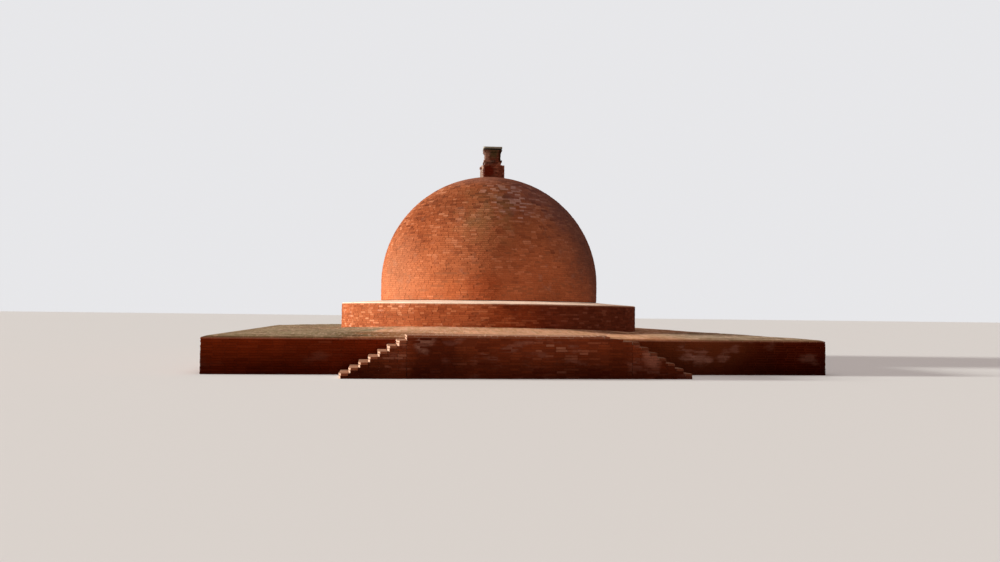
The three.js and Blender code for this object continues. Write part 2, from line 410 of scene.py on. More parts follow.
def times(tree, first, second):
    return reckoned(tree, "MULTIPLY", first, second)


# The distance between two points, or their dot product.
def measured(tree, how, first, second):
    return addNode(tree, "ShaderNodeVectorMath", {0: first, 1: second}, operation=how).outputs["Value"]


# Carries a value from low..high to newLow..newHigh by 3t^2 - 2t^3, and holds it at their ends.
def spread(tree, value, low, high, newLow=0.0, newHigh=1.0):
    feeds = {"Value": value, "From Min": low, "From Max": high, "To Min": newLow, "To Max": newHigh}
    return addNode(tree, "ShaderNodeMapRange", feeds, interpolation_type="SMOOTHSTEP").outputs[0]


def grey(tree, value):
    return addNode(tree, "ShaderNodeCombineColor", {0: value, 1: value, 2: value}).outputs[0]


def ramp(tree, value, stops):
    node = addNode(tree, "ShaderNodeValToRGB", {"Fac": value})
    bar = node.color_ramp
    while len(bar.elements) < len(stops):
        bar.elements.new(0.5)
    for element, (place, rgb) in zip(bar.elements, stops):
        element.position = place
        element.color = colour(rgb)
    return node.outputs["Color"]


def noise(tree, place, scale, detail, stretch=None):
    if stretch:
        place = addNode(tree, "ShaderNodeMapping", {"Vector": place, "Scale": stretch}).outputs[0]
    feeds = {"Vector": place, "Scale": scale, "Detail": detail, "Roughness": 0.6}
    return addNode(tree, "ShaderNodeTexNoise", feeds).outputs["Fac"]


def startFinish(name, spec):
    finish = bpy.data.materials.new(name)
    finish.use_nodes = True
    tree = finish.node_tree
    shader = tree.nodes["Principled BSDF"]
    shader.inputs["Roughness"].default_value = spec["roughness"]
    shader.inputs["Specular IOR Level"].default_value = spec["specular"]
    place = addNode(tree, "ShaderNodeTexCoord").outputs["Object"]
    return finish, tree, shader, place


def roughen(tree, shader, height, strength, distance):
    feeds = {"Height": height, "Strength": strength, "Distance": distance}
    tree.links.new(addNode(tree, "ShaderNodeBump", feeds).outputs[0], shader.inputs["Normal"])


# Limits that every mark shares, real dirt and weathering and painted light and shade alike: its noise, how
# ragged a patch is, and the spans of the noise, or of the cosine between a face and the mark's way, over
# which it comes in.
stainAndLightLook = {
    "grain": 1.0, "detail": 5, "ragged": 0.5,
    "edgeSpan": (0.25, 0.75), "waverSpan": (0.3, 0.7), "facingSpan": (0.8, 0.95),
}


# A mark that is laid over the colour beneath, and one that multiplies it; marks are real dirt and weathering,
# and painted light and shade too. The rest says where it shows.
def laid(rgb, strength, **where):
    return {"colour": rgb, "strength": strength, "how": "MIX", **where}


def tint(rgb, strength=1.0, **where):
    return {"colour": rgb, "strength": strength, "how": "MULTIPLY", **where}


# How much of a mark shows, real dirt and painted light and shade alike: everywhere, or where soft noise
# passes a threshold; then only in a ragged round patch, on bricks of some tones, between two distances along
# a direction, which can waver, or on faces that look one way, with or without the mortar between them. The
# limits are multiplied.
def stainAndLightShare(tree, place, tone, stainLightMark):
    stainLightMark = {**stainAndLightLook, **stainLightMark}
    share = 1.0
    breakUp = noise(tree, place, stainLightMark["grain"], stainLightMark["detail"], stainLightMark.get("stretch"))
    if "over" in stainLightMark:
        share = spread(tree, breakUp, *stainLightMark["over"])
    if "middle" in stainLightMark:
        full, none = stainLightMark["reach"]
        waver = stainLightMark["ragged"] * (none - full)
        apart = measured(tree, "DISTANCE", place, stainLightMark["middle"])
        apart = reckoned(tree, "ADD", apart, spread(tree, breakUp, *stainLightMark["edgeSpan"], -waver, waver))
        share = times(tree, share, spread(tree, apart, none, full))
    if "picks" in stainLightMark:
        share = times(tree, share, spread(tree, tone, *stainLightMark["picks"]))
    for way, start, end in stainLightMark.get("along", []):
        far = measured(tree, "DOT_PRODUCT", place, way)
        if "waver" in stainLightMark:
            moved = spread(tree, breakUp, *stainLightMark["waverSpan"], -stainLightMark["waver"], stainLightMark["waver"])
            far = reckoned(tree, "ADD", far, moved)
        share = times(tree, share, spread(tree, far, start, end))
    if "facing" in stainLightMark:
        normal = addNode(tree, "ShaderNodeTexCoord").outputs["Normal"]
        looks = measured(tree, "DOT_PRODUCT", normal, stainLightMark["facing"])
        share = times(tree, share, spread(tree, looks, *stainLightMark["facingSpan"]))
        if stainLightMark.get("bricksOnly"):
            bricks = reckoned(tree, "SUBTRACT", 1.0, pointValue(tree, "bed"))
            share = times(tree, share, bricks)
    return times(tree, share, stainLightMark["strength"])


# Lays each mark, real dirt and painted light and shade alike, over what the ones before it have left.
def stainedAndLit(tree, base, place, tone, stainsAndLight):
    for stainLightMark in stainsAndLight:
        share = stainAndLightShare(tree, place, tone, stainLightMark)
        base = blended(tree, stainLightMark["how"], share, base, colour(stainLightMark["colour"]))
    return base


# What the brick finishes have in common unless they say otherwise. Each span is of noise from 0 to 1.
brickLook = {
    "roughness": 0.95, "specular": 0.05, "rubbed": 0.2, "slowDetail": 5, "slowSpan": (0.35, 0.65),
    "fineScale": 28, "fineDetail": 6, "fineSpan": (0.3, 0.7), "fineShade": (0.86, 1.1),
    "pitted": 0.4, "pitDepth": 0.01,
}


# Brickwork: tones from dark to pale chosen brick by brick, edges rubbed lighter, mortar behind, slow
# weathering over the wall, then marks of dirt and of painted light and shade one over another, fine grain
# and a pitted surface.
def brickFinish(name, spec):
    spec = {**brickLook, **spec}
    finish, tree, shader, place = startFinish(name, spec)
    tone, bed, worn = [pointValue(tree, key) for key in ("tone", "bed", "worn")]
    slow = noise(tree, place, spec["slowScale"], spec["slowDetail"])
    fine = noise(tree, place, spec["fineScale"], spec["fineDetail"])
    base = ramp(tree, tone, spec["tones"])
    rubbed = times(tree, worn, spec["rubbed"])
    base = blended(tree, "MIX", rubbed, base, colour(spec["rubbedColour"]))
    base = blended(tree, "MIX", bed, base, colour(spec["mortar"]))
    shade = spread(tree, slow, *spec["slowSpan"], spec["slowDark"], 1.0)
    base = blended(tree, "MULTIPLY", 1.0, base, grey(tree, shade))
    base = stainedAndLit(tree, base, place, tone, spec["stainsAndLight"])
    grain = spread(tree, fine, *spec["fineSpan"], *spec["fineShade"])
    base = blended(tree, "MULTIPLY", 1.0, base, grey(tree, grain))
    tree.links.new(base, shader.inputs["Base Color"])
    roughen(tree, shader, fine, spec["pitted"], spec["pitDepth"])
    return finish


domeFinish = brickFinish("dome brick", {
    "tones": [
        (0.0, (0.20, 0.048, 0.020)), (0.35, (0.42, 0.115, 0.043)),
        (0.65, (0.50, 0.145, 0.056)), (1.0, (0.70, 0.27, 0.14)),
    ],
    "mortar": (0.36, 0.11, 0.045),
    "rubbedColour": (0.56, 0.21, 0.10),
    "slowScale": 0.55,
    "slowDark": 0.84,
    "stainsAndLight": [
        laid((0.14, 0.04, 0.02), 0.35, grain=1.2, over=(0.58, 0.75)),
        laid((0.50, 0.25, 0.17), 0.25, grain=2.4, over=(0.56, 0.72)),
        laid((0.34, 0.165, 0.065), 0.48, grain=1.8, middle=(-0.67, -3.6, 5.2), reach=(0.0, 1.2)),
        laid((0.27, 0.13, 0.055), 0.4, grain=1.8, middle=(-0.45, -2.9, 6.2), reach=(0.0, 1.3)),
        laid((0.26, 0.10, 0.085), 0.5, grain=1.4, middle=(1.5, -2.2, 6.4), reach=(0.4, 1.9)),
        laid(
            (0.66, 0.40, 0.34), 0.5, grain=1.4, middle=(0.55, -2.75, 6.25), reach=(0.4, 1.7),
            picks=(0.5, 0.8),
        ),
        # Darker towards the top: part weathering, part painted shade where the light falls off up the dome.
        tint((0.58, 0.58, 0.58), along=[(upward, 3.2, 6.8)]),
        laid((0.24, 0.10, 0.07), 0.6, along=[(upward, 6.6, 7.2)]),
        # Painted shade on the sunlit upper left, darker where the light falls off.
        tint((0.76, 0.64, 0.56), grain=0.5, middle=(-3.2, -2.4, 5.1), reach=(0.6, 2.6), ragged=0.2),
        tint((1.0, 0.90, 0.80), middle=(-1.1, -2.5, 6.3), reach=(0.3, 1.2), ragged=0.2),
        # Painted shade, deeper and redder, at the terminator; then a painted highlight on the lit side just
        # left of it.
        tint((0.93, 0.78, 0.69), middle=(-0.8, -4.27, 2.7), reach=(0.3, 0.9), ragged=0.2),
        tint((1.18, 1.12, 1.03), middle=(-1.75, -3.98, 2.7), reach=(0.2, 0.7), ragged=0.2),
        # Painted highlight: the sunlit left side paler and less red.
        laid((0.46, 0.20, 0.11), 0.3, middle=(-4.1, -2.0, 3.1), reach=(0.5, 2.4), ragged=0.2),
        # Painted shade: the right side, away from the light, darker and bluer.
        laid((0.10, 0.045, 0.038), 0.72, middle=(5.2, -0.3, 5.4), reach=(2.8, 5.4), ragged=0.08),
    ],
    "pitted": 0.35,
})

drumFinish = brickFinish("drum brick", {
    "tones": [
        (0.0, (0.24, 0.055, 0.020)), (0.35, (0.42, 0.105, 0.038)),
        (0.65, (0.50, 0.14, 0.053)), (1.0, (0.80, 0.33, 0.17)),
    ],
    "mortar": (0.36, 0.10, 0.04),
    "rubbedColour": (0.56, 0.20, 0.09),
    "slowScale": 0.55,
    "slowDark": 0.8,
    "stainsAndLight": [
        laid((0.16, 0.028, 0.010), 0.45, grain=1.1, over=(0.55, 0.72)),
        laid((0.75, 0.38, 0.27), 0.5, grain=1.7, over=(0.54, 0.68), picks=(0.45, 0.8)),
        # Painted shade: the drum's right half, away from the light, darker.
        tint((0.38, 0.29, 0.33), 0.92, grain=0.6, middle=(4.6, -5.0, 1.7), reach=(3.9, 5.6)),
        # Painted shade: darker and redder towards the terminator at the front.
        tint((0.90, 0.82, 0.74), middle=(-2.4, -5.4, 1.6), reach=(0.3, 1.6), ragged=0.2),
        tint((0.93, 0.79, 0.66), middle=(0.3, -5.8, 1.6), reach=(0.7, 1.8), ragged=0.2),
        laid((0.40, 0.19, 0.11), 0.5, along=[(upward, 2.07, 2.11)]),
    ],
    "pitted": 0.35,
})

unshadedWays = [leftward, backward, rightward]  # the walls that the photograph doesn't show
wallSpots = [
    (4.95, 0.60, 0.30, 0.55), (5.35, 0.56, 0.38, 0.55), (4.8, 0.92, 0.2, 0.4), (6.1, 0.55, 0.25, 0.35),
    (6.5, 0.82, 0.2, 0.3), (7.0, 0.97, 0.15, 0.3), (7.7, 0.85, 0.28, 0.18), (8.9, 0.57, 0.3, 0.18),
]  # x, z, size, strength


# A pale ragged spot on the front wall, full over a tenth of its size, on the paler bricks.
def wallSpot(x, z, size, strength):
    where = {"middle": (x, -9.5, z), "reach": (0.1 * size, size), "ragged": 0.8, "picks": (0.15, 0.55)}
    return laid((0.31, 0.14, 0.10), strength, grain=3.0, stretch=(0.5, 0.5, 1.5), **where)


wallFinish = brickFinish("wall brick", {
    "roughness": 0.98,
    "specular": 0.0,
    # Dark maroon tones: plain brick darkened by painted shade for the faces that look to the front; the last
    # marks lift the other faces back.
    "tones": [
        (0.0, (0.12, 0.012, 0.002)), (0.4, (0.175, 0.020, 0.003)),
        (0.75, (0.20, 0.026, 0.006)), (1.0, (0.27, 0.06, 0.025)),
    ],
    "mortar": (0.14, 0.018, 0.005),
    "rubbed": 0.15,
    "rubbedColour": (0.27, 0.06, 0.03),
    "slowScale": 0.45,
    "slowDark": 0.7,
    "stainsAndLight": [
        laid((0.23, 0.075, 0.045), 0.35, grain=1.1, stretch=(0.5, 0.5, 1.3), over=(0.56, 0.68)),
        laid((0.150, 0.036, 0.012), 0.8, grain=0.8, middle=(5.2, -9.5, 0.8), reach=(0.8, 3.2), ragged=0.3),
        laid((0.05, 0.008, 0.003), 0.4, grain=1.6, over=(0.6, 0.74)),
        # Painted shade: darker towards the ground. Then painted sunlight: paler along the top course.
        tint((0.36, 0.33, 0.4), along=[(upward, 1.05, 0.0)]),
        laid((0.42, 0.17, 0.10), 0.7, along=[(upward, 1.0, 1.04)]),
        tint((0.38, 0.30, 0.30), along=[(rightward, 5.2, 7.8)], facing=frontward),
        *[wallSpot(*spot) for spot in wallSpots],
        # The faces that look these ways are lifted out of the painted shade, back to plain brick.
        *[tint((1.8, 3.2, 4.6), facing=way) for way in unshadedWays],
    ],
})

treadFinish = brickFinish("tread brick", {
    "tones": [(0.0, (0.26, 0.105, 0.055)), (0.5, (0.36, 0.165, 0.095)), (1.0, (0.47, 0.25, 0.16))],
    "mortar": (0.26, 0.12, 0.065),
    "rubbed": 0.25,
    "rubbedColour": (0.48, 0.29, 0.20),
    "slowScale": 1.1,
    "slowDark": 0.8,
    "stainsAndLight": [
        laid((0.16, 0.06, 0.035), 0.4, grain=3.0, over=(0.55, 0.7)),
        # Painted shade on the faces that look to the front, and painted sunlight on the faces that look left.
        laid((0.24, 0.06, 0.024), 0.9, facing=frontward),
        laid((0.60, 0.38, 0.28), 0.8, facing=leftward, bricksOnly=True),
        # Painted shadow of the landing over the right flight's treads.
        tint((0.52, 0.47, 0.46), along=[(rightward, 2.70, 2.74)]),
    ],
})

pavingFinish = brickFinish("terrace paving", {
    "roughness": 0.96,
    "tones": [(0.0, (0.44, 0.19, 0.10)), (0.5, (0.66, 0.32, 0.185)), (1.0, (0.80, 0.46, 0.29))],
    "mortar": (0.66, 0.35, 0.205),
    "rubbedColour": (0.68, 0.42, 0.28),
    "slowScale": 0.6,
    "slowDark": 0.85,
    "stainsAndLight": [
        laid((0.38, 0.22, 0.12), 0.4, grain=0.7, over=(0.56, 0.7)),
        tint((0.50, 0.69, 0.72), grain=0.35, waver=1.3, along=[(leftward, 4.2, 5.2)]),
        tint((0.60, 0.82, 0.96), grain=0.5, middle=(9.3, -7.5, 1.2), reach=(3.2, 6.0), ragged=0.2),
        # Painted shadow of the dome and drum over the flat on the right, and at the drum's foot on the right
        # front.
        tint((0.42, 0.36, 0.34), 0.9, grain=0.7, middle=(8.5, -1.0, 1.3), reach=(5.6, 7.4)),
        tint((0.4, 0.32, 0.3), 0.9, grain=1.5, middle=(3.6, -5.9, 1.3), reach=(0.5, 1.6)),
        laid((0.78, 0.46, 0.31), 0.4, grain=1.2, middle=(-3.4, -6.0, 1.3), reach=(0.3, 1.1)),
        tint((0.58, 0.50, 0.40), middle=(-4.2, -7.9, 1.2), reach=(0.9, 2.3), ragged=0.25),
        tint((0.68, 0.64, 0.58), 0.5, grain=2.2, stretch=(0.4, 1, 1), over=(0.5, 0.66)),
        tint((0.70, 0.72, 0.56), 0.6, grain=8.0, stretch=(1, 0.16, 1), over=(0.46, 0.58)),
        laid((0.72, 0.48, 0.35), 0.35, grain=9.0, stretch=(1, 0.2, 1), over=(0.54, 0.62)),
        tint(
            (0.66, 0.58, 0.50), 0.9, grain=1.6, over=(0.42, 0.56),
            along=[(upward, 1.098, 1.104), (upward, 1.13, 1.115)],
        ),
        tint((0.50, 0.36, 0.28), along=[(upward, 1.096, 1.084)]),
    ],
    "pitted": 0.5,
})

landingFinish = brickFinish("landing brick", {
    "roughness": 0.98,
    "specular": 0.0,
    "tones": [
        (0.0, (0.12, 0.018, 0.006)), (0.4, (0.175, 0.03, 0.009)),
        (0.75, (0.21, 0.04, 0.013)), (1.0, (0.32, 0.11, 0.06)),
    ],
    "mortar": (0.15, 0.028, 0.010),
    "rubbedColour": (0.28, 0.09, 0.045),
    "slowScale": 0.6,
    "slowDark": 0.7,
    "stainsAndLight": [
        laid(
            (0.26, 0.10, 0.065), 0.5, grain=2.0, stretch=(0.6, 0.6, 1.4), over=(0.54, 0.66),
            picks=(0.15, 0.6),
        ),
        laid((0.06, 0.012, 0.004), 0.45, grain=1.8, over=(0.6, 0.74)),
        tint((0.62, 0.56, 0.60), grain=1.5, middle=(-2.9, -11.1, 0.5), reach=(0.3, 1.0)),
        laid(
            (0.31, 0.135, 0.09), 0.65, grain=3.0, middle=(-3.25, -11.1, 1.04), reach=(0.05, 0.4),
            picks=(0.1, 0.5),
        ),
        # Painted shade: darker towards the ground.
        tint((0.42, 0.38, 0.42), along=[(upward, 1.0, 0.0)]),
        laid((0.30, 0.115, 0.075), 0.5, grain=2.0, middle=(3.3, -11.1, 0.66), reach=(0.05, 0.5)),
        # Painted sunlight on the riser at the left end.
        laid((0.60, 0.38, 0.28), 0.85, facing=leftward, along=[(leftward, 3.66, 3.68)]),
        laid((0.36, 0.21, 0.14), 0.7, grain=2.5, over=(0.3, 0.6), facing=upward),
    ],
})

harmikaFinish = brickFinish("harmika brick", {
    "tones": [
        # The darkest stop is painted shade, taken by the block between the base's panels.
        (0.0, (0.03, 0.008, 0.004)), (0.04, (0.11, 0.024, 0.010)),
        (0.5, (0.21, 0.05, 0.024)), (1.0, (0.38, 0.15, 0.09)),
    ],
    "mortar": (0.10, 0.03, 0.018),
    "rubbed": 0.25,
    "rubbedColour": (0.34, 0.14, 0.09),
    "slowScale": 2.2,
    "slowDark": 0.65,
    "stainsAndLight": [
        laid((0.105, 0.0085, 0.0015), 0.9, grain=3.0, middle=(-0.16, -0.47, 7.52), reach=(0.18, 0.3)),
        laid((0.075, 0.055, 0.02), 0.75, grain=4.0, middle=(0.06, -0.3, 8.36), reach=(0.1, 0.34)),
        # Painted light and shade: the neck paler at its left, towards the light, and the right part above the
        # base darker, away from it.
        laid((0.36, 0.20, 0.14), 0.6, grain=3.0, middle=(-0.3, -0.3, 8.12), reach=(0.05, 0.4)),
        tint((0.3, 0.34, 0.3), along=[(rightward, 0.26, 0.30), (upward, 7.93, 7.95)]),
        laid((0.70, 0.46, 0.33), 0.8, middle=(-0.38, -0.3, 7.69), reach=(0.05, 0.07), ragged=0.1),
        # Painted sunlight: the faces that look left paler and greyer.
        laid((0.25, 0.205, 0.18), 0.8, facing=leftward, bricksOnly=True),
    ],
})

plasterLook = {
    "roughness": 0.9, "specular": 0.15, "cloudScale": 0.9, "cloudDetail": 6, "dullAt": 0.35, "cleanAt": 0.6,
    "dustScale": 3.2, "dustDetail": 5, "dustSpan": (0.5, 0.68), "dustShare": 0.45, "crazing": 1.7,
    "crackWidth": 0.022, "crackSpan": (0.5, 0.64), "crackShare": 0.35, "roughScale": 35, "roughDetail": 6,
    "trowelled": 0.35, "trowelDepth": 0.008, "stainsAndLight": [],
}


# Lime plaster: cream with grey weathering, washed brick dust, hairline cracks and a trowelled surface.
def makePlaster(name, spec):
    spec = {**plasterLook, **spec}
    finish, tree, shader, place = startFinish(name, spec)
    cloud = noise(tree, place, spec["cloudScale"], spec["cloudDetail"])
    dust = noise(tree, place, spec["dustScale"], spec["dustDetail"])
    base = ramp(tree, cloud, [(spec["dullAt"], spec["dull"]), (spec["cleanAt"], spec["clean"])])
    dusty = times(tree, spread(tree, dust, *spec["dustSpan"]), spec["dustShare"])
    base = blended(tree, "MIX", dusty, base, colour(spec["dust"]))
    feeds = {"Vector": place, "Scale": spec["crazing"]}
    edges = addNode(tree, "ShaderNodeTexVoronoi", feeds, feature="DISTANCE_TO_EDGE").outputs["Distance"]
    crack = spread(tree, edges, spec["crackWidth"], 0.0)
    crack = times(tree, crack, spread(tree, cloud, *spec["crackSpan"], 0.0, spec["crackShare"]))
    base = blended(tree, "MIX", crack, base, colour(spec["crack"]))
    base = stainedAndLit(tree, base, place, None, spec["stainsAndLight"])
    tree.links.new(base, shader.inputs["Base Color"])
    rough = noise(tree, place, spec["roughScale"], spec["roughDetail"])
    roughen(tree, shader, reckoned(tree, "SUBTRACT", rough, crack), spec["trowelled"], spec["trowelDepth"])
    return finish


plasterFinish = makePlaster("lime plaster", {
    "clean": (0.95, 0.74, 0.58),
    "dull": (0.80, 0.59, 0.44),
    "dust": (0.68, 0.43, 0.30),
    "crack": (0.34, 0.22, 0.15),
})
stoneFinish = makePlaster("cap stone", {
    "clean": (0.33, 0.29, 0.235),
    "dull": (0.20, 0.175, 0.13),
    "dust": (0.22, 0.21, 0.13),
    "crack": (0.05, 0.04, 0.03),
    # Painted shadow: a near-black band along the cap's lower edge.
    "stainsAndLight": [laid((0.012, 0.010, 0.007), 0.95, along=[(upward, 8.485, 8.47)])],
})
print("finishes: made")

# Platform walls: fourteen courses of large brick over a mortar core, the top course laid deep as coping. The
# core stands back from the faces that have bricks, and ends one joint below the top.
wallWork = {
    "length": 0.33, "wander": 0.2, "joint": 0.009, "corner": 0.003, "rounding": 0.007, "recess": 0.012,
    "tilt": 0.004, "drift": 1.3, "gather": 0.35, "swing": ([0], [0.7]),
}
wallPlan = {"depth": 0.17, "copingDepth": 0.30, "mortarBack": 0.016}


def makeWall(node, sides, seed):
    low, high = corners(node)
    rows = blockRows(
        low, high, sides, courseCount(low, high), wallPlan["depth"], topDepth=wallPlan["copingDepth"]
    )
    bricks = straightBricks(rows, {**wallWork, "seed": seed})
    back = {side: wallPlan["mortarBack"] * (side in sides) for side in allSides}
    coreLow = low + [back["left"], back["front"], 0]
    coreHigh = high - [back["right"], back["back"], wallWork["joint"]]
    makePiece(node + "_brickwork", node, joined(bricks, boxes(coreLow, coreHigh)), wallFinish)


makeWall("front_wall", ["front", "right", "left"], 11)
makeWall("back_wall", ["right", "back", "left"], 12)
makeWall("left_wall", ["left"], 13)
makeWall("right_wall", ["right"], 14)
print("walls: laid")

# Drum and the upright foot of the dome: plain rings of brick over a mortar core.
domeWork = {
    "length": 0.24, "wander": 0.25, "joint": 0.007, "corner": 0.003, "rounding": 0.006, "recess": 0.012,
    "tilt": 0.004, "drift": 0.17, "gather": 0.35,
}
ringPlan = {"depth": 0.17, "mortarBack": 0.012, "steps": 144, "coreThick": 0.5}


def makeRing(node, seed, finish, swing):
    low, high = corners(node)
    radius = high[0]
    tall = high[2] - low[2]
    courses = courseCount(low, high)
    rise = np.full(courses, tall / courses)
    levels = low[2] + np.arange(courses) * tall / courses
    edge = np.full(courses, radius)
    work = {**domeWork, "seed": seed, "swing": ([0], [swing])}
    bricks = ringBricks(levels, edge, edge, rise, np.full(courses, ringPlan["depth"]), work)
    inner = radius - ringPlan["coreThick"]
    outer = radius - ringPlan["mortarBack"]
    coreRadius = np.array([inner, outer, outer, inner])
    core = ringCore(coreRadius, np.array([low[2], low[2], high[2], high[2]]), ringPlan["steps"])
    makePiece(node + "_brickwork", node, joined(bricks, core), finish)


makeRing("drum", 21, drumFinish, 0.75)
makeRing("dome_foot", 22, domeFinish, 0.5)

# Dome: level courses that step in along a sphere, r = sqrt(R^2 - (z - z0)^2). A course rises by one brick up
# to the angle uprightTo above the sphere's level middle, and from there each takes an equal share of the arc.
domePlan = {
    "depth": 0.2, "lean": 0.75, "uprightTo": 60, "widePitch": 0.10, "coreInner": 0.3, "crownDrop": 0.002,
}
hemisphereWork = {
    **domeWork, "length": 0.225, "wander": 0.27, "swing": ([2.9, 4.4, 5.4, 7.2], [0.5, 0.7, 1.05, 1.15]),
}


def makeDome(node, seed, plan):
    low, high = corners(node)
    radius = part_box("dome_foot")[1][0]
    centre = low[2]
    top = high[2] - centre
    upright = np.arange(0, radius * np.sin(np.radians(plan["uprightTo"])), courseHeight)
    lastAngle, topAngle = np.arcsin(upright[-1] / radius), np.arcsin(top / radius)
    more = int(round((topAngle - lastAngle) * radius / plan["widePitch"]))
    rest = radius * np.sin(np.linspace(lastAngle, topAngle, more + 1)[1:])
    bounds = np.concatenate([upright, rest])
    reach = np.sqrt(radius**2 - bounds**2)
    foot, head = reach[:-1], reach[1:]
    foot = head + (foot - head) * plan["lean"]
    rise = np.diff(bounds)
    depth = np.full(len(rise), plan["depth"])
    bricks = ringBricks(centre + bounds[:-1], foot, head, rise, depth, {**hemisphereWork, "seed": seed})
    back, drop = ringPlan["mortarBack"], domeWork["joint"]
    coreRadius = np.stack([foot - back, head - back], axis=1).ravel()
    coreHeight = np.stack([centre + bounds[:-1] - drop, centre + bounds[1:] - drop], axis=1).ravel()
    coreRadius = np.concatenate([[plan["coreInner"]], coreRadius, [plan["coreInner"]]])
    coreHeight = np.concatenate([[centre], coreHeight, [high[2] - plan["crownDrop"]]])
    coreHeight[1] = centre
    core = ringCore(coreRadius, coreHeight, ringPlan["steps"])
    makePiece(node + "_brickwork", node, joined(bricks, core), domeFinish)


makeDome("dome", 23, domePlan)
print("drum and dome: laid")

# Berm: a plaster bank on the drum. Its height falls in a straight line from the dome to a rounded lip, and
# both waver with soft noise; here and there the lip is broken away.
bermPlan = {
    "steps": 480, "across": 26, "bendSteps": 6, "underDome": 0.2, "lip": 0.035, "round": 0.02,
    "waver": 0.012, "waverSize": 0.7, "waverOut": 0.8, "broken": 0.05, "brokenSize": 0.45, "brokenGain": 3.2,
    "brokenFrom": 2.2, "brokenDrop": 0.5, "edgeWidth": 0.25, "seed": 31,
}


def makeBerm(plan):
    low, high = corners("berm")
    edge, inner = high[0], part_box("dome_foot")[1][0] - plan["underDome"]
    slope = np.linspace(0, 1, plan["across"])[1:]
    lipTop = low[2] + plan["lip"]
    bend = np.linspace(0, np.pi / 2, plan["bendSteps"])
    rim = edge - plan["round"]
    lipRadius = edge - plan["round"] * (1 - np.cos(bend))
    lipHeight = lipTop - plan["round"] * (1 - np.sin(bend))
    radius = np.concatenate([[inner, edge], lipRadius, rim - slope * (rim - inner)])
    height = np.concatenate([[low[2], low[2]], lipHeight, lipTop + slope * (high[2] - lipTop)])
    steps, side = plan["steps"], len(radius)
    radius, height = np.tile(radius, (steps, 1)), np.tile(height, (steps, 1))
    grid = carriedRound(radius, height, steps)[0].reshape(steps, side, 3)
    waver = (softNoise(grid, plan["waverSize"], plan["seed"]) - 1) * plan["waver"]
    broken = softNoise(grid, plan["brokenSize"], plan["seed"] + 1) * plan["brokenGain"] - plan["brokenFrom"]
    broken = np.clip(broken, 0, 1) * plan["broken"]
    nearEdge = np.clip(1 - (edge - radius) / plan["edgeWidth"], 0, 1)
    onTop = np.arange(side) > 1
    offFoot = np.clip((height - low[2]) / plan["lip"], 0, 1)
    height = height + onTop * (waver - broken * nearEdge * offFoot * plan["brokenDrop"])
    radius = radius + (waver * plan["waverOut"] - broken) * nearEdge * (np.arange(side) > 0)
    points, faces = carriedRound(radius, np.maximum(height, low[2]), steps)
    shape = points, faces, evenValues(points)
    makePiece("berm_plaster", "berm", shape, plasterFinish, smooth=True)


makeBerm(bermPlan)
print("berm: plastered")

# Terrace: worn brick laid flat in rows that follow the walls, on packed earth that has washed over parts
# of it. The surface is z = top where the greater of |x| and |y| is under the flat's half side, and falls
# in a straight line from there to the edge, and steeply from the edge over the top of the wall.
terracePlan = {
    "flat": 7.8, "edgeThick": 0.045, "rowWidth": 0.235, "brickThick": 0.04, "inner": 4.1, "sunk": 0.004,
    "rowsShort": 1.0, "underDrum": 0.3, "lost": 0.05, "earthLow": 0.028, "earthSwing": 0.05, "across": 150,
    "deepSteps": 46, "washEnd": 0.012, "washFoot": 0.003, "washSteps": 5, "fadeFrom": 0.02, "fadeWidth": 0.15,
    "drumMargin": 0.05, "drumDrop": 0.004,
}
terraceWork = {
    "length": 0.34, "wander": 0.22, "joint": 0.014, "corner": 0.007, "rounding": 0.006, "recess": 0.016,
    "tilt": 0.007, "drift": 1.1, "gather": 0.4, "seed": 41,
}
swells = [(1.3, 45, 0.6), (0.3, 46, 0.4)]  # size, seed and share of washed earth's broad and small swells
terraceLow, terraceHigh = corners("terrace_front")
wallHigh = corners("front_wall")[1]
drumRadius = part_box("drum")[1][0]


def terraceHeight(away):
    edge, lip = terraceHigh[0], terraceLow[2] + terracePlan["edgeThick"]
    end = wallHigh[0] - terracePlan["washEnd"]
    foot = terraceLow[2] + terracePlan["washFoot"]
    return np.interp(away, [terracePlan["flat"], edge, end], [terraceHigh[2], lip, foot])


# Points turned about the axis by quarter turns: (x cos t - y sin t, x sin t + y cos t, z).
def quarterTurned(points, quarterTurns):
    cos, sin = [(1, 0), (0, 1), (-1, 0), (0, -1)][quarterTurns]
    x, y, z = points.T
    return np.stack([x * cos - y * sin, x * sin + y * cos, z], axis=-1)


# Washed earth, from 0 to 1: broad swells of soft noise with small ones on them.
def washedEarth(points):
    return sum(softNoise(points, size, seed) * share for size, seed, share in swells)


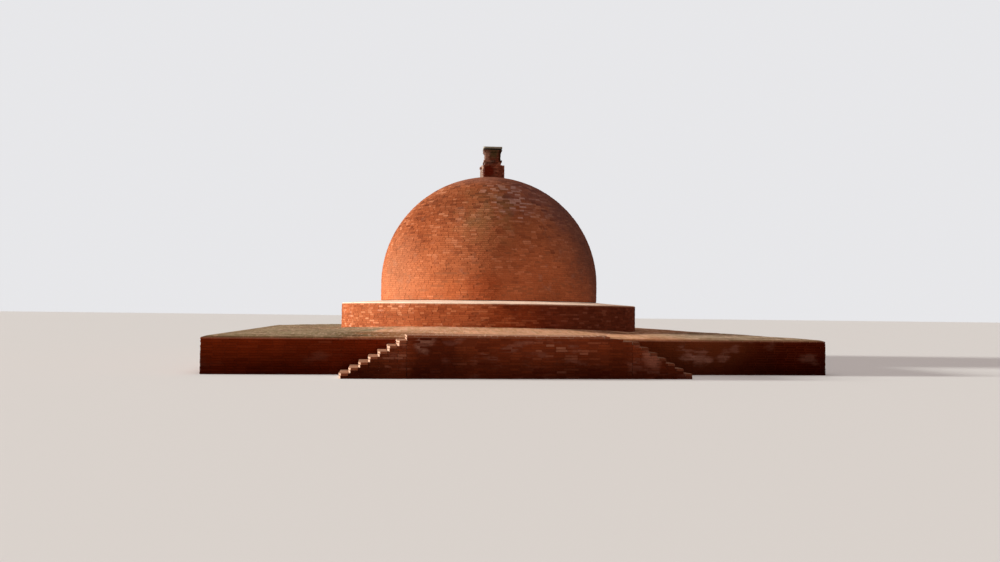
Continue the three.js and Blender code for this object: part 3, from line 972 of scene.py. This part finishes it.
def makeTerrace(side, quarterTurns, plan):
    edge, base, top = terraceHigh[0], terraceLow[2], terraceHigh[2]
    outer = np.arange(edge, plan["inner"] + plan["rowsShort"], -plan["rowWidth"])
    rows = []
    for number, away in enumerate(outer):
        nearer = away - plan["rowWidth"]
        z0, z1 = terraceHeight(np.array([away, nearer])) - plan["sunk"]
        up = np.array([0, away - nearer, z1 - z0])
        up = up / np.linalg.norm(up)
        start = [-nearer, -away, z0]
        rows.append((start, rightward, up, 2 * nearer, plan["rowWidth"], plan["brickThick"], number % 2))

    def beside(centres, rng):
        clear = np.hypot(centres[:, 0], centres[:, 1]) > drumRadius - plan["underDrum"]
        return clear & (rng.random(len(centres)) > plan["lost"])

    work = {**terraceWork, "seed": terraceWork["seed"] + quarterTurns}
    bricks = straightBricks(stackRows(rows), work, beside)

    wash = np.linspace(wallHigh[0] - plan["washEnd"], edge, plan["washSteps"])[:-1]
    deep = np.concatenate([wash, np.linspace(edge, plan["inner"], plan["deepSteps"])])
    share, away = np.meshgrid(np.linspace(-1, 1, plan["across"]), deep)
    x, y = share * away, -away
    flat = quarterTurned(np.stack([x, y, 0 * x], axis=-1).reshape(-1, 3), quarterTurns)
    swell = washedEarth(flat).reshape(x.shape)
    fade = np.clip((edge + plan["fadeFrom"] - away) / plan["fadeWidth"], 0, 1)
    height = terraceHeight(away) - (plan["earthLow"] - swell * plan["earthSwing"]) * fade
    nearDrum = np.hypot(x, y) < drumRadius + plan["drumMargin"]
    height = np.where(nearDrum, np.minimum(height, top - plan["drumDrop"]), height)
    earth, faces = slabOver(x, y, height, base)
    points, faces, values = joined(bricks, (earth, faces, evenValues(earth, bed=1.0)))
    shape = quarterTurned(points, quarterTurns), faces, values
    makePiece(f"terrace_{side}_paving", f"terrace_{side}", shape, pavingFinish)


for number, side in enumerate(allSides):
    makeTerrace(side, number, terracePlan)
print("terrace: paved")

# Apron: paving in rings round the drum, on a bank of earth. At angle a its height at the drum is
# foot + thin + high*cos(90 deg*(a - middle)/reach), and it falls in a straight line to its outer edge, which
# runs out a little under the terrace's surface.
apronPlan = {
    "from": 190, "to": 320, "middle": 255, "reach": 68, "high": 0.15, "thin": 0.02, "edge": -0.014,
    "width": 0.35, "more": 1.45, "moreBend": 0.7, "rings": 8, "ringWidth": 0.225, "brickThick": 0.035,
    "firstGap": 0.01, "rimKept": 0.02, "lost": 0.06, "sunk": 0.003, "steps": 105, "deepSteps": 14,
    "drumGap": 0.002, "earthLow": 0.018, "earthSwing": 0.03, "earthEdge": 0.002, "earthOver": 0.004,
    "earthThick": 0.006, "seed": 48,
}
apronWork = {**terraceWork, "seed": 47, "tilt": 0.005, "recess": 0.010}


def apronSurface(turn, radius, plan):
    share = np.cos(np.clip((np.degrees(turn) - plan["middle"]) / plan["reach"], -1, 1) * np.pi / 2)
    outer = drumRadius + plan["width"] + plan["more"] * share ** plan["moreBend"]
    down = np.clip((radius - drumRadius) / (outer - drumRadius), 0, 1)
    rise = plan["thin"] - plan["edge"] + plan["high"] * share
    return terraceHigh[2] + plan["edge"] + rise * (1 - down), outer


def makeApron(plan):
    foot, width = terraceHigh[2], plan["ringWidth"]
    rows = []
    rng = np.random.default_rng(plan["seed"])
    for ring in range(plan["rings"]):
        radius = drumRadius + plan["firstGap"] + (ring + 1) * width
        pitch = terraceWork["length"] / radius
        first = np.radians(plan["from"]) + pitch * rng.random()
        for turn in np.arange(first, np.radians(plan["to"]) - pitch, pitch):
            middle = turn + pitch / 2
            low, outer = apronSurface(middle, radius, plan)
            high = apronSurface(middle, radius - width, plan)[0]
            if radius > outer - plan["rimKept"] or rng.random() < plan["lost"]:
                continue
            along = np.array([-np.sin(middle), np.cos(middle), 0])
            up = np.array([-np.cos(middle) * width, -np.sin(middle) * width, high - low])
            up = up / np.linalg.norm(up)
            length = pitch * radius - terraceWork["joint"]
            outside = np.array([radius * np.cos(middle), radius * np.sin(middle), low - plan["sunk"]])
            rows.append((outside - along * length / 2, along, up, length, width, plan["brickThick"], 0))
    bricks = straightBricks(stackRows(rows), apronWork)

    turns = np.radians(np.linspace(plan["from"], plan["to"], plan["steps"]))
    down, turn = np.meshgrid(np.linspace(0, 1, plan["deepSteps"]), turns)
    outer = apronSurface(turn, drumRadius, plan)[1]
    radius = drumRadius + plan["drumGap"] + (outer - drumRadius - plan["drumGap"]) * down
    x, y = radius * np.cos(turn), radius * np.sin(turn)
    swell = washedEarth(np.stack([x, y, 0 * x], axis=-1))
    surface = apronSurface(turn, radius, plan)[0]
    earth = surface - plan["earthLow"] + swell * plan["earthSwing"]
    earth = np.maximum(earth, foot + plan["edge"] - plan["earthEdge"])
    earth = np.minimum(earth, surface + plan["earthOver"])
    points, faces = slabOver(x, y, earth, foot + plan["edge"] - plan["earthThick"])
    bed = points, faces[:, ::-1], evenValues(points, bed=1.0)
    makePiece("front_apron_paving", "front_apron", joined(bricks, bed), pavingFinish)


makeApron(apronPlan)
print("apron: paved")

# Landing: a block of brickwork with one course of paving, worn away towards its right end. A paving brick is
# lost by chance, lostGain times its way from wornFrom to wornTo, and every one past lastBrick is.
landingPlan = {
    "depth": 0.17, "copingDepth": 0.3, "mortarBack": 0.014, "bedDrop": 0.006, "topShort": 0.25,
    "coreShort": 0.3, "pavingRows": 5, "rowGap": 0.01, "wornFrom": 1.55, "wornTo": 2.6, "lostGain": 1.15,
    "lastBrick": 2.25, "pavingBedDrop": 0.03, "thinBed": 0.009, "thinBedBack": 0.002, "thinBedMore": 0.04,
    "bedOverlap": 0.1,
}
landingWork = {
    "length": 0.32, "wander": 0.22, "joint": 0.009, "corner": 0.004, "rounding": 0.009, "recess": 0.018,
    "tilt": 0.006, "drift": 0.8, "gather": 0.4, "seed": 51,
}


def makeLanding(plan):
    low, high = corners("landing_block")
    courses, sides = courseCount(low, high), ["front", "right", "left"]
    rows = blockRows(low, high, sides, courses, plan["depth"], topDepth=plan["copingDepth"])
    lastBed = low[2] + (courses - 1) * courseHeight

    def stillThere(centres, rng):
        return ~((centres[:, 2] > lastBed) & (centres[:, 0] > plan["wornTo"] - plan["topShort"]))

    bricks = straightBricks(rows, landingWork, stillThere)
    back = plan["mortarBack"]
    lows = [[low[0] + back, low[1] + back, low[2]], [low[0] + back, low[1] + back, lastBed]]
    coreEnd = plan["wornTo"] - plan["coreShort"]
    highs = [[high[0] - back, high[1], lastBed], [coreEnd, high[1], high[2] - plan["bedDrop"]]]
    shape = joined(bricks, boxes(lows, highs))
    makePiece("landing_brickwork", "landing_block", shape, landingFinish)

    low, high = corners("landing_paving")
    long, thick = high[0] - low[0], high[2] - low[2]
    deep = (high[1] - low[1]) / plan["pavingRows"]
    rows = []
    for number in range(plan["pavingRows"]):
        start = [low[0], low[1] + number * deep, low[2]]
        rows.append((start, rightward, upward, long, thick, deep - plan["rowGap"], number % 2))

    def unworn(centres, rng):
        gone = np.clip((centres[:, 0] - plan["wornFrom"]) / (plan["wornTo"] - plan["wornFrom"]), 0, 1)
        return (rng.random(len(centres)) > gone * plan["lostGain"]) & (centres[:, 0] < plan["lastBrick"])

    work = {**landingWork, "length": 0.21, "seed": 52, "joint": 0.012}
    bricks = straightBricks(stackRows(rows), work, unworn)
    lows = [
        [low[0] + back, low[1] + back, low[2]],
        [plan["wornFrom"], low[1] + back + plan["thinBedBack"], low[2]],
    ]
    highs = [
        [plan["wornFrom"] + plan["bedOverlap"], high[1], high[2] - plan["pavingBedDrop"]],
        [plan["lastBrick"] + plan["thinBedMore"], high[1], low[2] + plan["thinBed"]],
    ]
    shape = joined(bricks, boxes(lows, highs))
    makePiece("landing_paving_bricks", "landing_paving", shape, treadFinish)


makeLanding(landingPlan)
print("landing: laid")

# Flights: stepped brickwork with a row of long bricks as each tread, their outer edges worn round.
flightPlan = {
    "treads": 7, "depth": 0.17, "mortarBack": 0.014, "bedDrop": 0.008, "treadBack": 0.02, "treadDrop": 0.025,
    "cut": 0.065, "cutSpan": 0.2,
}
treadWork = {
    "length": 0.27, "wander": 0.12, "joint": 0.010, "corner": 0.004, "rounding": 0.008, "recess": 0.008,
    "tilt": 0.005, "drift": 0.7, "gather": 0.3,
}


# Wears the front corner of each step away: a point moves in by cut * (1 - y/span) * (1 - x/span), with x
# its distance from the step's outer end and y its distance from the front.
def wornCorner(shape, outer, side, front, plan):
    points, faces, values = shape
    inX = np.clip(1 - np.abs(points[:, 0] - outer) / plan["cutSpan"], 0, 1)
    inY = np.clip(1 - (points[:, 1] - front) / plan["cutSpan"], 0, 1)
    points = points.copy()
    points[:, 0] -= side * plan["cut"] * inX * inY
    return points, faces, values


# Side is -1 for the flight to the left and 1 for the right. Step number n starts at reach[n], and two courses
# more stand under each step than under the one before it.
def makeFlight(name, side, plan, seed):
    low, high = corners(name + "_flight")
    head = high[0] if side < 0 else low[0]
    ends = [corners(f"{name}_tread_{number}") for number in range(1, plan["treads"] + 1)]
    reach = [tread[0][0] if side < 0 else tread[1][0] for tread in ends] + [head]
    front, behind = low[1], high[1]
    depth, back = plan["depth"], plan["mortarBack"]

    def faceStart(x):
        return ([x, behind], frontward) if side < 0 else ([x, front], backward)

    rows, lows, highs = [], [], []
    for number in range(plan["treads"]):
        outer, inner = reach[number], reach[number + 1]
        for course in (2 * number - 1, 2 * number):
            if course < 0:
                continue
            start = [min(head, outer), front, course * courseHeight]
            rows.append((start, rightward, upward, abs(head - outer), courseHeight, depth, course % 4 // 2))
        (x, y), along = faceStart(outer)
        start = [x, y + (depth if side > 0 else 0), 2 * number * courseHeight]
        rows.append((start, along, upward, behind - front - depth, courseHeight, depth, number % 2))
        bed = (2 * number + 1) * courseHeight - plan["bedDrop"]
        outerX, innerX = outer - side * back, inner - side * back * (number < plan["treads"] - 1)
        lows.append([min(outerX, innerX), front + back, 0])
        highs.append([max(outerX, innerX), behind, bed])
    work = {**landingWork, "seed": seed, "length": 0.3}
    shape = joined(straightBricks(stackRows(rows), work), boxes(lows, highs))
    step = np.clip(shape[0][:, 2] // (2 * courseHeight), 0, plan["treads"] - 1).astype(int)
    shape = wornCorner(shape, np.array(reach)[step], side, front, plan)
    makePiece(name + "_flight_brickwork", name + "_flight", shape, landingFinish)

    for number, (treadLow, treadHigh) in enumerate(ends, start=1):
        outer = reach[number - 1]
        (x, y), along = faceStart(outer)
        size = treadHigh - treadLow
        row = ([x, y, treadLow[2]], along, upward, behind - front, size[2], size[0], number % 2)
        bricks = straightBricks(stackRows([row]), {**treadWork, "seed": seed * 10 + number})
        inset, drop = plan["treadBack"], plan["treadDrop"]
        bed = boxes(treadLow + [inset, inset, 0], treadHigh - [inset, 0, drop])
        shape = wornCorner(joined(bricks, bed), outer, side, front, plan)
        node = f"{name}_tread_{number}"
        makePiece(node + "_bricks", node, shape, treadFinish)


makeFlight("left", -1, flightPlan, 6)
makeFlight("right", 1, flightPlan, 7)
print("flights: laid")

# Harmika: a square pedestal of small brick with a panel standing proud on each side of its base, a waist,
# a moulding, a neck, a stepped corbel and a worn cap stone. It is built square and then turned a little.
harmikaPlan = {
    "turn": -4.0,  # degrees
    "panel": 0.73, "groove": 0.10, "depth": 0.12, "mortarBack": 0.012, "bedDrop": 0.006, "paler": 0.3,
    "outBrick": 0.05, "outCourse": 5, "outFrom": -0.08, "outLength": 0.2, "outDepth": 0.3,
    "tiles": 3, "tileRounding": 0.006, "tileDrop": 0.002, "cut": 0.08, "cutSpan": 0.24,
    "baseSeed": 71, "outSeed": 75, "tileSeed": 91,
}
harmikaWork = {
    "length": 0.24, "wander": 0.15, "joint": 0.008, "corner": 0.004, "rounding": 0.008, "recess": 0.007,
    "tilt": 0.004, "drift": 0.35, "gather": 0.4,
}
capPlan = {
    "round": 0.018, "cells": 14, "foot": 0.05, "footSpan": 0.015, "in": 0.05, "level": 0.001, "up": 0.5,
    "hollows": [(0.11, 95, 0.007), (0.3, 96, 0.006)],  # size, seed and depth
    "noiseShift": 5.0,
}


# The half width of a square node before it was turned by t: reach/(cos t + sin t), where reach is half the
# width of its box. A panel of half width p that stands proud gives (reach - p*sin t)/cos t instead.
def squareCorners(node, panel=None):
    low, high = corners(node)
    turn = abs(np.radians(harmikaPlan["turn"]))
    reach = (high[1] - low[1]) / 2
    if panel is None:
        half = reach / (np.cos(turn) + np.sin(turn))
    else:
        half = (reach - panel * np.sin(turn)) / np.cos(turn)
    return np.array([-half, -half, low[2]]), np.array([half, half, high[2]]), (low[0] + high[0]) / 2


# Turns shapes built square round the harmika's axis, at x = middle, and makes a piece of them.
def makeTurned(name, node, shapes, middle, finish=harmikaFinish, smooth=False):
    points, faces, values = joined(*shapes)
    turn = np.radians(harmikaPlan["turn"])
    x, y, z = points.T
    turned = [middle + x * np.cos(turn) - y * np.sin(turn), x * np.sin(turn) + y * np.cos(turn), z]
    makePiece(name, node, (np.stack(turned, axis=-1), faces, values), finish, smooth)


# The base: bricks of the panels in front and behind, of those at the sides, and of the block between, all
# over mortar, and one brick that stands out on the left.
def makeHarmikaBase(plan):
    panel, groove, back = plan["panel"] / 2, plan["groove"], plan["mortarBack"]
    low, high, middle = squareCorners("harmika_base", panel)
    half = high[0]
    spans = [(panel, half), (half, panel), (half - groove, half - groove)]
    inset = np.array([back, back, 0])
    shapes = []
    for number, sides in enumerate([["front", "back"], ["right", "left"], allSides]):
        dx, dy = spans[number]
        start, end = np.array([-dx, -dy, low[2]]), np.array([dx, dy, high[2]])
        rows = blockRows(start, end, sides, courseCount(low, high), plan["depth"])
        bricks = straightBricks(rows, {**harmikaWork, "seed": plan["baseSeed"] + number})
        tone = bricks[2]["tone"]
        # The block between takes the darkest tone: painted shade in the grooves between the panels.
        bricks[2]["tone"] = [tone, np.minimum(tone + plan["paler"], 1), 0 * tone][number]
        core = boxes(start + inset, [dx, dy, high[2] - plan["bedDrop"]] - inset)
        if number == 1:
            bricks, core = [wornCorner(shape, -half, -1, -panel, plan) for shape in (bricks, core)]
        shapes += [bricks, core]
    start = [-half - plan["outBrick"], plan["outFrom"], low[2] + plan["outCourse"] * courseHeight]
    row = (start, frontward, upward, plan["outLength"], courseHeight, plan["outDepth"], 0)
    shapes.append(straightBricks(stackRows([row]), {**harmikaWork, "seed": plan["outSeed"]}))
    shapes[-1][2]["tone"] += 1
    makeTurned("harmika_base_brickwork", "harmika_base", shapes, middle)


# A square part of a few equal courses over mortar. Gives back its half width.
def makeHarmikaPart(part, courses, rounding, seed, plan):
    low, high, middle = squareCorners("harmika_" + part)
    rise = (high[2] - low[2]) / courses
    work = {**harmikaWork, "seed": seed, "rounding": rounding}
    bricks = straightBricks(blockRows(low, high, allSides, courses, plan["depth"], rise=rise), work)
    inset = np.array([plan["mortarBack"], plan["mortarBack"], 0])
    core = boxes(low + inset, high - inset - [0, 0, plan["bedDrop"]])
    makeTurned(f"harmika_{part}_brickwork", "harmika_" + part, [bricks, core], middle)
    return high[0]


# The corbel: rings of tile, each reaching out by an equal share from the neck to the corbel's half width.
def makeCorbel(neck, plan):
    low, high, middle = squareCorners("harmika_corbel")
    rise = (high[2] - low[2]) / plan["tiles"]
    shapes = []
    for number in range(plan["tiles"]):
        reach = neck + (high[0] - neck) * (number + 1) / plan["tiles"]
        z0 = low[2] + number * rise
        start, end = [-reach, -reach, z0], [reach, reach, z0 + rise]
        rows = blockRows(start, end, allSides, 1, plan["depth"], rise=rise)
        work = {**harmikaWork, "seed": plan["tileSeed"] + number, "rounding": plan["tileRounding"]}
        shapes.append(straightBricks(rows, work))
        inside = reach - plan["mortarBack"]
        shapes.append(boxes([-inside, -inside, z0], [inside, inside, z0 + rise - plan["tileDrop"]]))
    makeTurned("harmika_corbel_tiles", "harmika_corbel", shapes, middle)


# The cap: a rounded block, drawn in at its foot and hollowed by soft noise towards its centre.
def makeCap(plan):
    low, high, middle = squareCorners("harmika_cap")
    points, faces = roundedBlock(low, high, plan["round"], plan["cells"])
    place = points + plan["noiseShift"]
    hollow = sum(softNoise(place, size, seed) * depth for size, seed, depth in plan["hollows"])
    drawnIn = np.clip((low[2] + plan["foot"] - points[:, 2]) / plan["footSpan"], 0, 1) * plan["in"]
    points[:, :2] *= (1 - drawnIn / high[0])[:, None]
    centre = (low + high) / 2
    inward = (centre - points) / np.maximum(np.abs(points - centre).max(axis=1, keepdims=True), 1e-6)
    inward[points[:, 2] < low[2] + plan["level"]] *= [1, 1, 0]
    points = points + inward * hollow[:, None] * [1, 1, plan["up"]]
    shape = points, faces, evenValues(points)
    makeTurned("harmika_cap_slab", "harmika_cap", [shape], middle, stoneFinish, smooth=True)


makeHarmikaBase(harmikaPlan)
makeHarmikaPart("waist", 2, 0.009, 81, harmikaPlan)
makeHarmikaPart("moulding", 1, 0.022, 82, harmikaPlan)
neckHalf = makeHarmikaPart("neck", 4, 0.009, 83, harmikaPlan)
makeCorbel(neckHalf, harmikaPlan)
makeCap(capPlan)
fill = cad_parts["platform_fill"]
fill.data.materials.clear()
fill.data.materials.append(pavingFinish)
print("harmika: built")

# Studio: a pale floor, a soft low key light from the left, a faint one from above, and a dim warm room that
# the camera sees as plain pale grey.
studio = {
    "floorReach": 300.0,
    "floorColour": (0.70, 0.69, 0.68),
    "floorRoughness": 0.9,
    "floorSpecular": 0.1,
    "keyPower": 6.5,
    "keyColour": (0.95, 0.96, 0.89),
    "keySpread": 7.0,  # degrees
    "keyTurn": 94.0,  # degrees from -Y towards -X
    "keyLift": 11.0,
    "topPower": 1.1,
    "topSpread": 80.0,
    "roomColour": (0.80, 0.80, 0.82),
    "fillColour": (0.42, 0.315, 0.285),
    "fillFrom": (-0.4, -0.9, 0.1),  # the brighter side of the room
    "fillLeast": 0.25,  # share of the fill on the dimmer side
}


def makeStudio(plan):
    reach = plan["floorReach"]
    mesh = bpy.data.meshes.new("floor")
    points = [(-reach, -reach, 0), (reach, -reach, 0), (reach, reach, 0), (-reach, reach, 0)]
    mesh.from_pydata(points, [], [(0, 1, 2, 3)])
    finish = bpy.data.materials.new("floor")
    finish.use_nodes = True
    shader = finish.node_tree.nodes["Principled BSDF"]
    shader.inputs["Base Color"].default_value = colour(plan["floorColour"])
    shader.inputs["Roughness"].default_value = plan["floorRoughness"]
    shader.inputs["Specular IOR Level"].default_value = plan["floorSpecular"]
    mesh.materials.append(finish)
    floor = bpy.data.objects.new("floor", mesh)
    bpy.context.scene.collection.objects.link(floor)

    lamps = {
        "key": (
            plan["keyPower"], plan["keyColour"], plan["keySpread"], 90 - plan["keyLift"], -plan["keyTurn"],
        ),
        "top": (plan["topPower"], (1, 1, 1), plan["topSpread"], 0, 0),
    }
    for name, (power, shine, wide, tip, turn) in lamps.items():
        data = bpy.data.lights.new(name, "SUN")
        data.energy, data.color, data.angle = power, shine, np.radians(wide)
        lamp = bpy.data.objects.new(name, data)
        bpy.context.scene.collection.objects.link(lamp)
        lamp.rotation_euler = (np.radians(tip), 0, np.radians(turn))

    world = bpy.data.worlds.new("room")
    bpy.context.scene.world = world
    world.use_nodes = True
    tree = world.node_tree
    seen = addNode(tree, "ShaderNodeLightPath").outputs["Is Camera Ray"]
    way = addNode(tree, "ShaderNodeTexCoord").outputs["Generated"]
    facing = measured(tree, "DOT_PRODUCT", way, plan["fillFrom"])
    share = spread(tree, facing, -1.0, 1.0, plan["fillLeast"], 1.0)
    fill = blended(tree, "MULTIPLY", 1.0, colour(plan["fillColour"]), grey(tree, share))
    look = blended(tree, "MIX", seen, fill, colour(plan["roomColour"]))
    tree.links.new(look, tree.nodes["Background"].inputs["Color"])
    bpy.context.scene.view_settings.view_transform = "Standard"


makeStudio(studio)
print("studio: lit")
